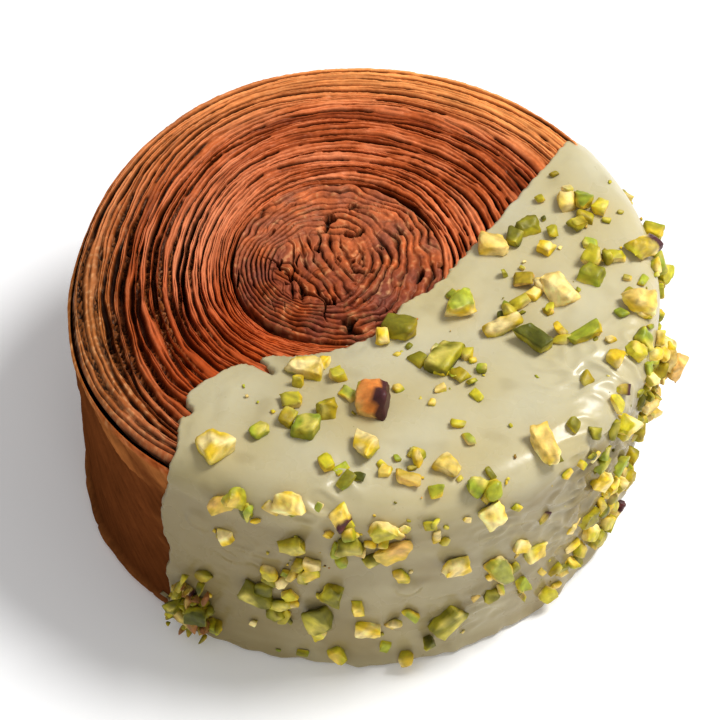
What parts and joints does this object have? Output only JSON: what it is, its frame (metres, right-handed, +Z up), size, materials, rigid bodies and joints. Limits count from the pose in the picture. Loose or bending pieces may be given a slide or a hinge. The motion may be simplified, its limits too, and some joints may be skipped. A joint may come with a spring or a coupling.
{
  "type": "new york roll",
  "caption": "Round croissant roll wound from laminated dough, half dipped in pistachio icing and sprinkled with chopped pistachios.",
  "frame": {"origin": "on the floor, under the middle of the roll's round outline, on the flat underside of the bare pastry", "axes": "+Z up out of the spiral's face; the icing covers the +X -Y half"},
  "size_m": [0.1177, 0.1141, 0.0536],
  "materials": {
    "baked_pastry": "baked brown laminated crust, a little buttery",
    "pistachio_icing": "satin pale green icing with chopped pistachios set in it"
  },
  "bodies": {
    "root": {"pastry": "baked_pastry", "pistachio_icing": "pistachio_icing"}
  },
  "joints": []
}
